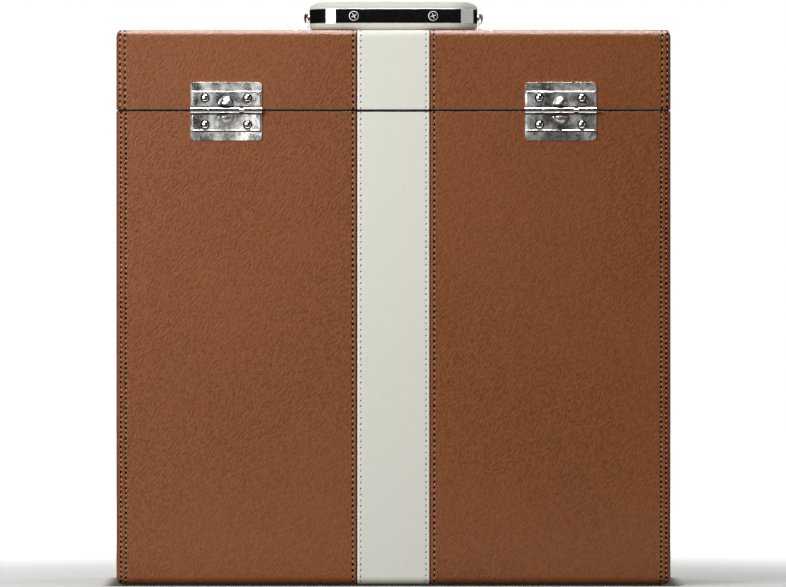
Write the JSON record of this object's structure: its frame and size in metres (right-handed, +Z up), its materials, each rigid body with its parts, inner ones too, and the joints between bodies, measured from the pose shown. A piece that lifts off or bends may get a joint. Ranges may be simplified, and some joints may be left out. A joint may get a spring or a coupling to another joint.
{
  "type": "record carrying case",
  "caption": "Upright leatherette record case with a pale centre stripe, a lid on stop hinges, a front clasp and a folding padded handle; it holds 12 inch records.",
  "frame": {"origin": "on the surface it stands on, under the middle of the case", "axes": "+Z up, +X to the right seen from the clasp side, +Y towards the hinges"},
  "size_m": [0.35, 0.1791, 0.3701],
  "materials": {
    "board": "raw birch plywood, satin",
    "brown_leatherette": "fine pebbled leatherette, semi-matt",
    "cream_leatherette": "fine pebbled leatherette, semi-matt",
    "lining": "black flocked lining, matt",
    "nickel": "bright nickel plate, slightly rippled",
    "chrome": "mirror chrome plate",
    "black_plastic": "matt",
    "grey_fibre": "pressed fibre sheet, matt"
  },
  "bodies": {
    "base": {"base_front_board": "board", "base_back_board": "board", "base_left_board": "board", "base_right_board": "board", "base_bottom_board": "board", "base_cover_left": "brown_leatherette", "base_cover_right": "brown_leatherette", "base_stripe": "cream_leatherette", "base_bottom_sheet": "grey_fibre", "base_lining": "lining", "hinge_left_base_leaf": "nickel", "hinge_right_base_leaf": "nickel", "hinge_left_pin": "nickel", "hinge_right_pin": "nickel", "hinge_base_rivets": "nickel", "clasp_base_plate": "nickel", "clasp_pin": "nickel", "clasp_base_rivets": "nickel"},
    "lid": {"lid_front_board": "board", "lid_back_board": "board", "lid_left_board": "board", "lid_right_board": "board", "lid_top_board": "board", "lid_cover_left": "brown_leatherette", "lid_cover_right": "brown_leatherette", "lid_stripe": "cream_leatherette", "lid_lining": "lining", "hinge_left_lid_leaf": "nickel", "hinge_right_lid_leaf": "nickel", "hinge_lid_rivets": "nickel", "strike_plate": "nickel", "strike_hook": "nickel", "strike_rivets": "nickel", "handle_bracket_left": "nickel", "handle_bracket_right": "nickel", "bracket_rivets": "nickel", "bracket_washers": "nickel", "handle_pivots": "nickel"},
    "handle": {"handle_core": "black_plastic", "handle_band": "chrome", "handle_upper_pad": "cream_leatherette", "handle_lower_pad": "cream_leatherette", "handle_band_screws": "chrome"},
    "clasp": {"clasp": "nickel"}
  },
  "joints": [
    {"name": "lid_swing", "type": "hinge", "parent": "base", "child": "lid", "pos_m": [0, 0.08535, 0.3002], "axis": [-1, 0, 0], "range_deg": [0, 100]},
    {"name": "handle_swing", "type": "hinge", "parent": "lid", "child": "handle", "pos_m": [0, 0, 0.36095], "axis": [1, 0, 0], "range_deg": [0, 180]},
    {"name": "clasp_swing", "type": "hinge", "parent": "base", "child": "clasp", "pos_m": [0, -0.08465, 0.286], "axis": [-1, 0, 0], "range_deg": [0, 170]}
  ]
}
